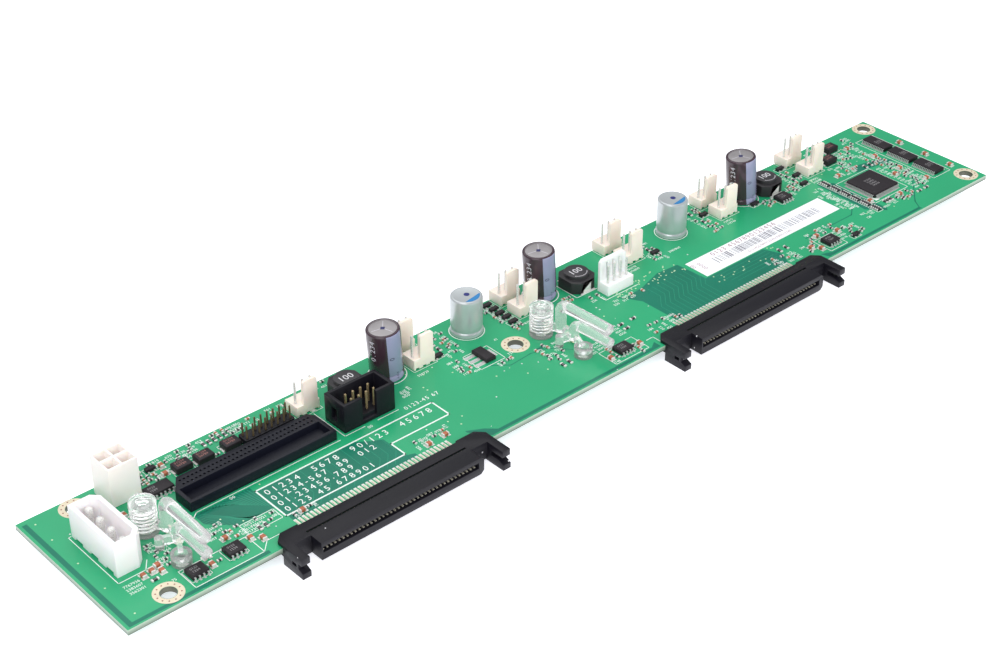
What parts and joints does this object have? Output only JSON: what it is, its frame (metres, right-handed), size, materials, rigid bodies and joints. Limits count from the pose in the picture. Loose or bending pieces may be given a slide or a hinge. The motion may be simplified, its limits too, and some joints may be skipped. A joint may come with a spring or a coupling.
{
  "type": "drive backplane board",
  "caption": "Long narrow circuit board that carries edge sockets for hard drives, with power, riser, fan and signal headers, capacitors, chokes, chips and clear light pipes.",
  "frame": {"origin": "centre of the rectangle of the four corner mounting holes, on the underside of the board", "axes": "+X along the length towards the end with the three chips, +Y from the drive sockets to the rear edge, +Z out of the component side"},
  "size_m": [0.3307, 0.0604, 0.0219],
  "materials": {
    "cream_nylon": "satin moulded",
    "tinned_metal": "tinned",
    "black_nylon": "matt moulded",
    "gold_plate": "bright plated",
    "chip_plastic": "matt moulded",
    "white_nylon": "satin moulded",
    "ceramic_body": "matt fired",
    "solder_mask": "satin green mask",
    "capacitor_sleeve": "shrunk film over a can",
    "clear_plastic": "polished clear",
    "label_paper": "matt",
    "bare_can": "satin",
    "navy_nylon": "matt moulded",
    "led_lens": "moulded lens"
  },
  "bodies": {
    "root": {"aux_power_header": "cream_nylon", "aux_power_pins": "tinned_metal", "box_header": "black_nylon", "box_header_pins": "gold_plate", "buffer_chip_1": "chip_plastic", "buffer_chip_2": "chip_plastic", "buffer_chip_3": "chip_plastic", "buffer_chip_leads": "tinned_metal", "bus_header": "white_nylon", "bus_header_pins": "tinned_metal", "capacitor_leads": "tinned_metal", "ceramic_capacitor_ends": "tinned_metal", "ceramic_capacitors": "ceramic_body", "chip_resistors": "chip_plastic", "choke_1": "chip_plastic", "choke_2": "chip_plastic", "choke_3": "chip_plastic", "choke_terminals": "tinned_metal", "circuit_board": "solder_mask", "controller_chip": "chip_plastic", "controller_leads": "tinned_metal", "drive_contacts_left": "tinned_metal", "drive_contacts_right": "tinned_metal", "drive_socket_left": "black_nylon", "drive_socket_right": "black_nylon", "electrolytic_capacitor_1": "capacitor_sleeve", "electrolytic_capacitor_2": "capacitor_sleeve", "electrolytic_capacitor_3": "capacitor_sleeve", "fan_header_01": "cream_nylon", "fan_header_02": "cream_nylon", "fan_header_03": "cream_nylon", "fan_header_04": "cream_nylon", "fan_header_05": "cream_nylon", "fan_header_06": "cream_nylon", "fan_header_07": "cream_nylon", "fan_header_08": "cream_nylon", "fan_header_09": "cream_nylon", "fan_header_10": "cream_nylon", "fan_header_11": "cream_nylon", "fan_header_pins": "tinned_metal", "light_pipe_left": "clear_plastic", "light_pipe_right": "clear_plastic", "part_label": "label_paper", "pin_header": "black_nylon", "pin_header_pins": "gold_plate", "polymer_capacitor_1": "bare_can", "polymer_capacitor_2": "bare_can", "power_diodes": "chip_plastic", "power_header": "white_nylon", "power_header_pins": "tinned_metal", "regulator_leads": "tinned_metal", "resistor_arrays": "chip_plastic", "slot_connector": "navy_nylon", "slot_contacts": "gold_plate", "small_chip_leads": "tinned_metal", "small_chips": "chip_plastic", "status_leds": "led_lens", "transistors": "chip_plastic", "voltage_regulator": "chip_plastic"}
  },
  "joints": []
}
